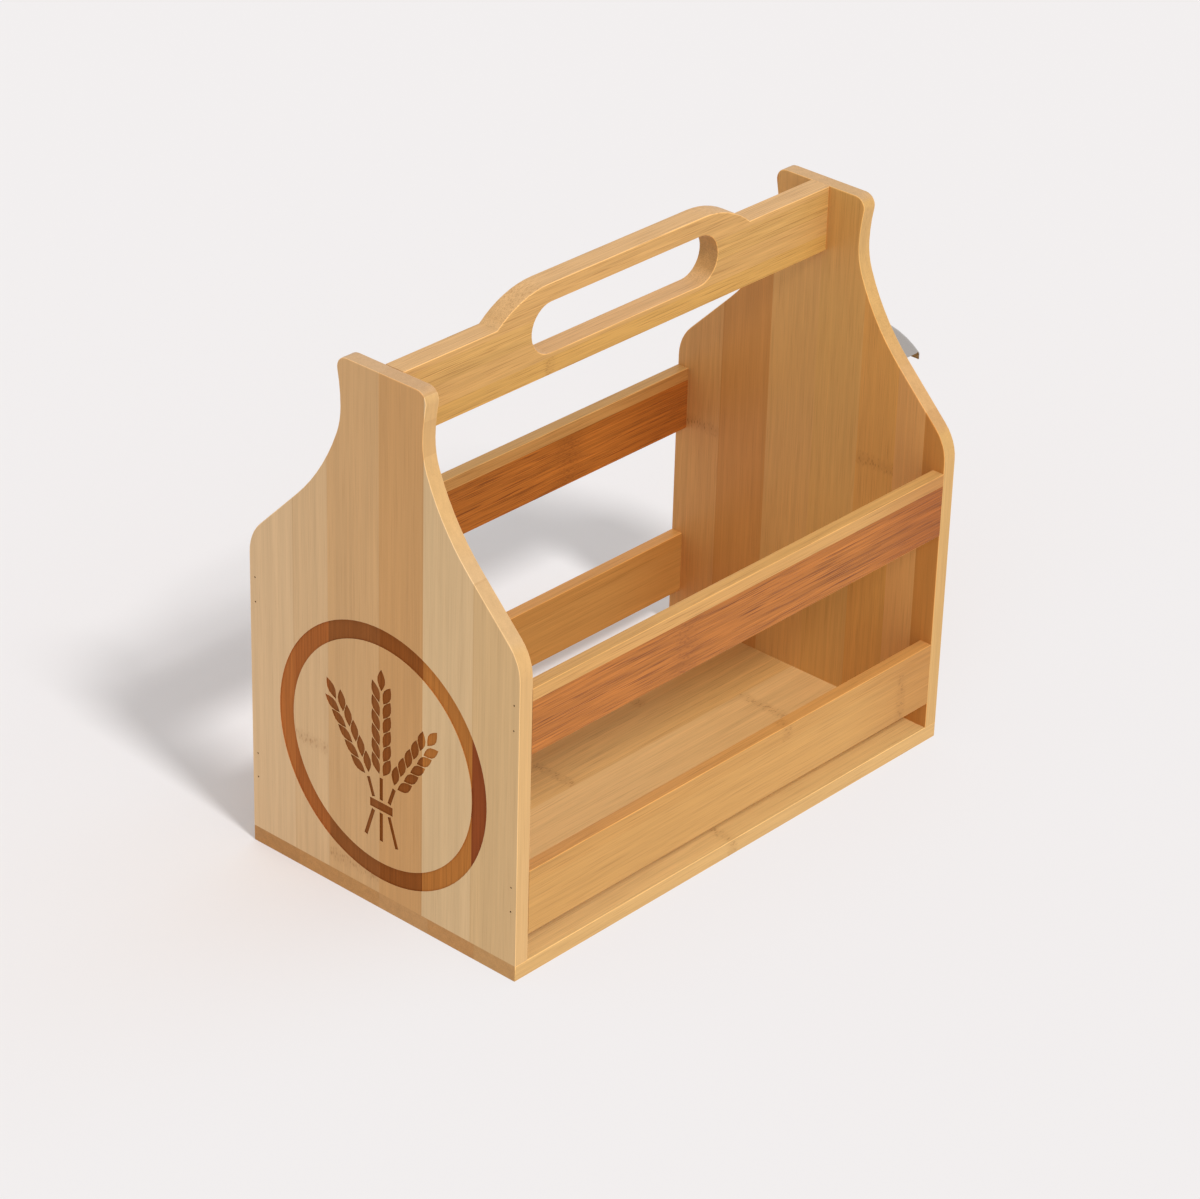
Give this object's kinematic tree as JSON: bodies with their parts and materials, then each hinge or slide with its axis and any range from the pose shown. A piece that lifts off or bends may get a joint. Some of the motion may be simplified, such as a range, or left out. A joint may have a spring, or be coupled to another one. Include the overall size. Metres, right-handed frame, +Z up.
{
  "type": "beer crate",
  "caption": "Open bamboo bottle carrier with bottle-shaped end panels, slatted sides, a slotted handle board down the middle and a steel bottle opener on one end.",
  "frame": {"origin": "centre of the base board's underside, on the surface that the crate stands on", "axes": "+Z up; +X along the crate's length, towards the end with the bottle opener; +Y across it"},
  "size_m": [0.2913, 0.146, 0.246],
  "materials": {
    "pale_bamboo": "pale straw-coloured laminated bamboo in upright strips, thin clear satin lacquer",
    "golden_bamboo": "golden laminated bamboo, thin clear satin lacquer",
    "brown_bamboo": "steamed reddish-brown bamboo with a paler top strip, thin clear satin lacquer",
    "beech": "plain turned beech, hidden in the joint",
    "pin_steel": "dull bright-drawn wire",
    "satin_steel": "satin stainless steel"
  },
  "bodies": {
    "root": {"base_board": "golden_bamboo", "left_end_panel": "pale_bamboo", "right_end_panel": "pale_bamboo", "front_lower_slat": "golden_bamboo", "front_upper_slat": "brown_bamboo", "back_lower_slat": "golden_bamboo", "back_upper_slat": "brown_bamboo", "handle_board": "golden_bamboo", "handle_dowel_left_1": "beech", "handle_dowel_left_2": "beech", "handle_dowel_right_1": "beech", "handle_dowel_right_2": "beech", "bottle_opener": "satin_steel", "opener_screw_1": "satin_steel", "opener_screw_2": "satin_steel", "base_screw_left_1": "satin_steel", "base_screw_left_2": "satin_steel", "base_screw_left_3": "satin_steel", "base_screw_right_1": "satin_steel", "base_screw_right_2": "satin_steel", "base_screw_right_3": "satin_steel", "nail_left_front_lower_1": "pin_steel", "nail_left_front_lower_2": "pin_steel", "nail_left_front_upper_1": "pin_steel", "nail_left_front_upper_2": "pin_steel", "nail_left_back_lower_1": "pin_steel", "nail_left_back_lower_2": "pin_steel", "nail_left_back_upper_1": "pin_steel", "nail_left_back_upper_2": "pin_steel", "nail_right_front_lower_1": "pin_steel", "nail_right_front_lower_2": "pin_steel", "nail_right_front_upper_1": "pin_steel", "nail_right_front_upper_2": "pin_steel", "nail_right_back_lower_1": "pin_steel", "nail_right_back_lower_2": "pin_steel", "nail_right_back_upper_1": "pin_steel", "nail_right_back_upper_2": "pin_steel"}
  },
  "joints": []
}
